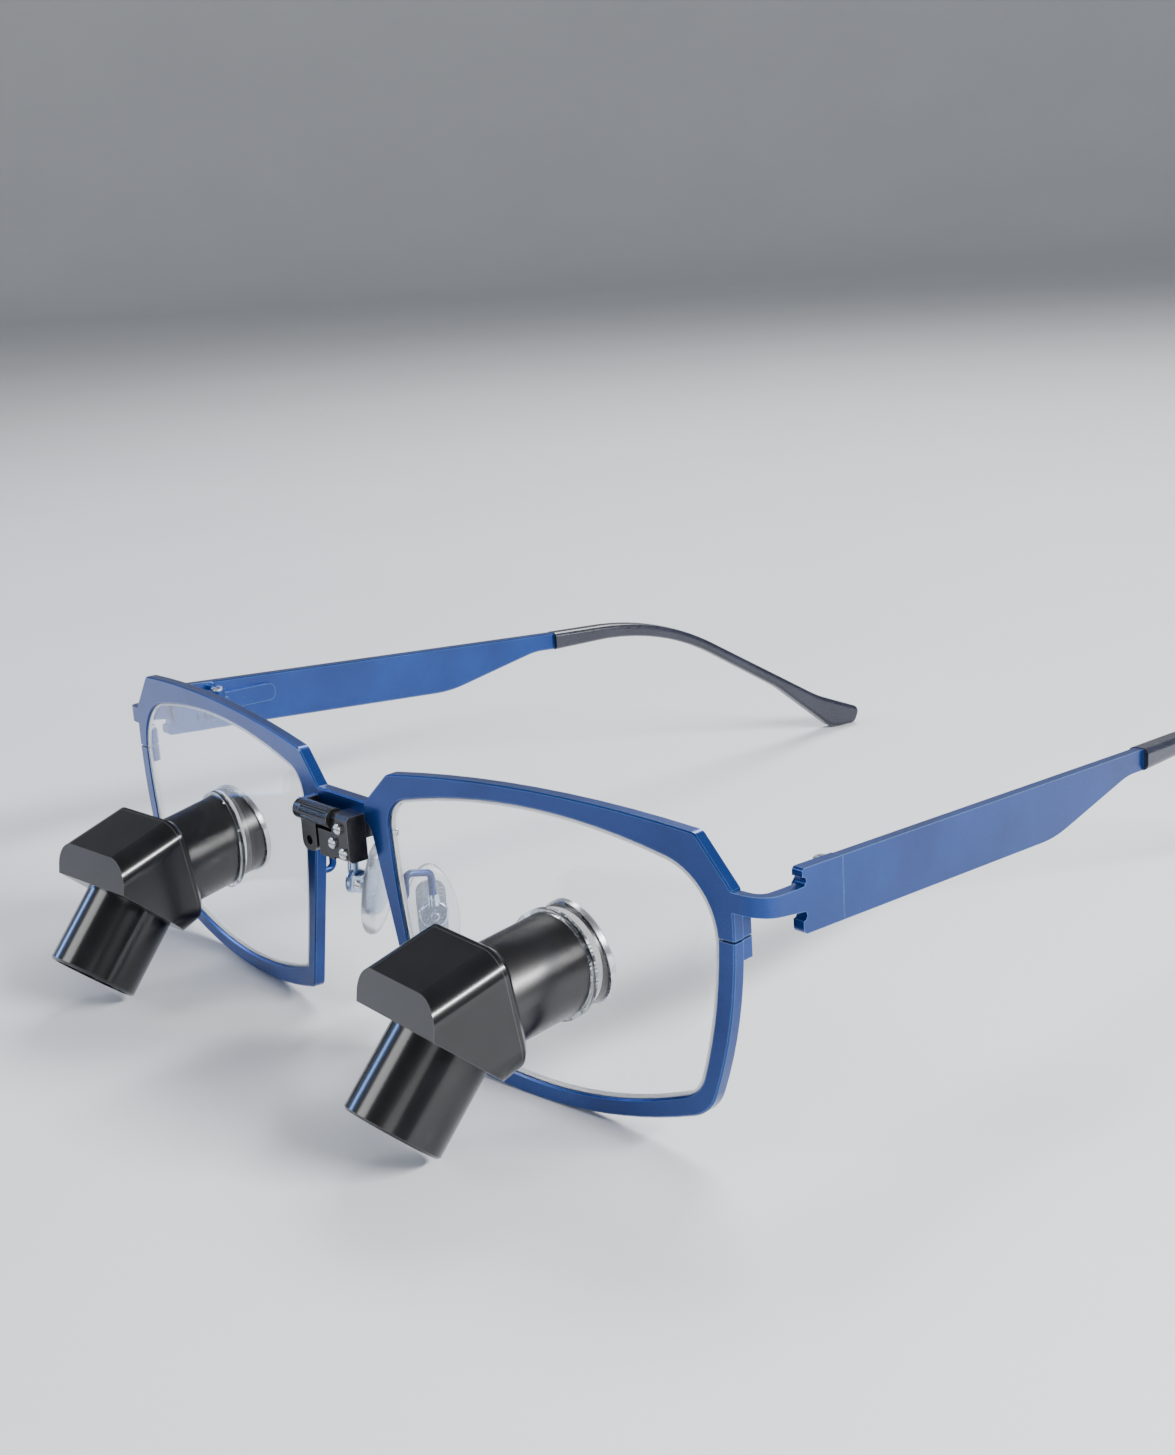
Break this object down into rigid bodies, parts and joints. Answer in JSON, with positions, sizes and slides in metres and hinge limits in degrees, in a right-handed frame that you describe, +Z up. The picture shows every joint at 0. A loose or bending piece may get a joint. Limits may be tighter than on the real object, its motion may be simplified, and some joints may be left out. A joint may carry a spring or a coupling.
{
  "type": "dental loupes",
  "caption": "Ergonomic dental loupes: metal spectacle frame with folding temples and angled prism telescopes through the lenses.",
  "frame": {"origin": "centre of the bounding box in X and Y, on the surface it stands on", "axes": "+Z up, -Y the way the wearer looks, +X the wearer's left; temples open"},
  "size_m": [0.1402, 0.183, 0.04],
  "materials": {
    "blue_metal": "satin blue, brighter on the bevelled edges",
    "carrier_lens": "clear, polished edge",
    "optic_glass": "coated",
    "black_anodised": "glossy black",
    "silver_ring": "turned",
    "bond": "clear adhesive bead",
    "steel_screw": "bright",
    "pad_metal": "satin",
    "pad_silicone": "clear silicone",
    "tip_plastic": "glossy, nearly black",
    "mount_black": "black"
  },
  "bodies": {
    "front": {"front_frame": "blue_metal", "left_rim_lock": "blue_metal", "right_rim_lock": "blue_metal", "left_hinge_front_leaf": "blue_metal", "right_hinge_front_leaf": "blue_metal", "left_pad_arm": "blue_metal", "right_pad_arm": "blue_metal", "left_carrier_lens": "carrier_lens", "right_carrier_lens": "carrier_lens", "left_eyepiece_lens": "optic_glass", "right_eyepiece_lens": "optic_glass", "left_prism": "optic_glass", "right_prism": "optic_glass", "left_objective_lens": "optic_glass", "right_objective_lens": "optic_glass", "left_eyepiece_tube": "black_anodised", "right_eyepiece_tube": "black_anodised", "left_prism_cover": "black_anodised", "right_prism_cover": "black_anodised", "left_prism_housing": "black_anodised", "right_prism_housing": "black_anodised", "left_objective_tube": "black_anodised", "right_objective_tube": "black_anodised", "left_objective_ring": "black_anodised", "right_objective_ring": "black_anodised", "left_eyepiece_ring": "silver_ring", "right_eyepiece_ring": "silver_ring", "left_bond_ring": "bond", "right_bond_ring": "bond", "left_hinge_screw": "steel_screw", "right_hinge_screw": "steel_screw", "left_lock_screw": "steel_screw", "right_lock_screw": "steel_screw", "left_pad_screw": "steel_screw", "right_pad_screw": "steel_screw", "left_lens_stud": "steel_screw", "right_lens_stud": "steel_screw", "mount_screws": "steel_screw", "mount_pin": "steel_screw", "left_pad_box": "pad_metal", "right_pad_box": "pad_metal", "mount_base": "mount_black"},
    "left_temple_arm": {"left_temple": "blue_metal", "left_temple_tip": "tip_plastic", "left_hinge_temple_leaf": "blue_metal"},
    "right_temple_arm": {"right_temple": "blue_metal", "right_temple_tip": "tip_plastic", "right_hinge_temple_leaf": "blue_metal"},
    "left_pad": {"left_nose_pad": "pad_silicone", "left_pad_core": "pad_metal"},
    "right_pad": {"right_nose_pad": "pad_silicone", "right_pad_core": "pad_metal"},
    "clip": {"light_clip": "mount_black"}
  },
  "joints": [
    {"name": "left_temple_fold", "type": "hinge", "parent": "front", "child": "left_temple_arm", "pos_m": [0.06601, -0.04534, 0.031], "axis": [0, 0, 1], "range_deg": [0, 84.5]},
    {"name": "right_temple_fold", "type": "hinge", "parent": "front", "child": "right_temple_arm", "pos_m": [-0.06601, -0.04534, 0.031], "axis": [0, 0, -1], "range_deg": [0, 79.5]},
    {"name": "left_pad_rock", "type": "hinge", "parent": "front", "child": "left_pad", "pos_m": [0.00877, -0.05831, 0.01732], "axis": [-0.5, -0.866, 0], "range_deg": [-8, 8]},
    {"name": "right_pad_rock", "type": "hinge", "parent": "front", "child": "right_pad", "pos_m": [-0.00877, -0.05831, 0.01732], "axis": [0.5, -0.866, 0], "range_deg": [-8, 8]},
    {"name": "light_clip_tilt", "type": "hinge", "parent": "front", "child": "clip", "pos_m": [0, -0.06845, 0.031], "axis": [-1, 0, 0], "range_deg": [0, 60]}
  ]
}
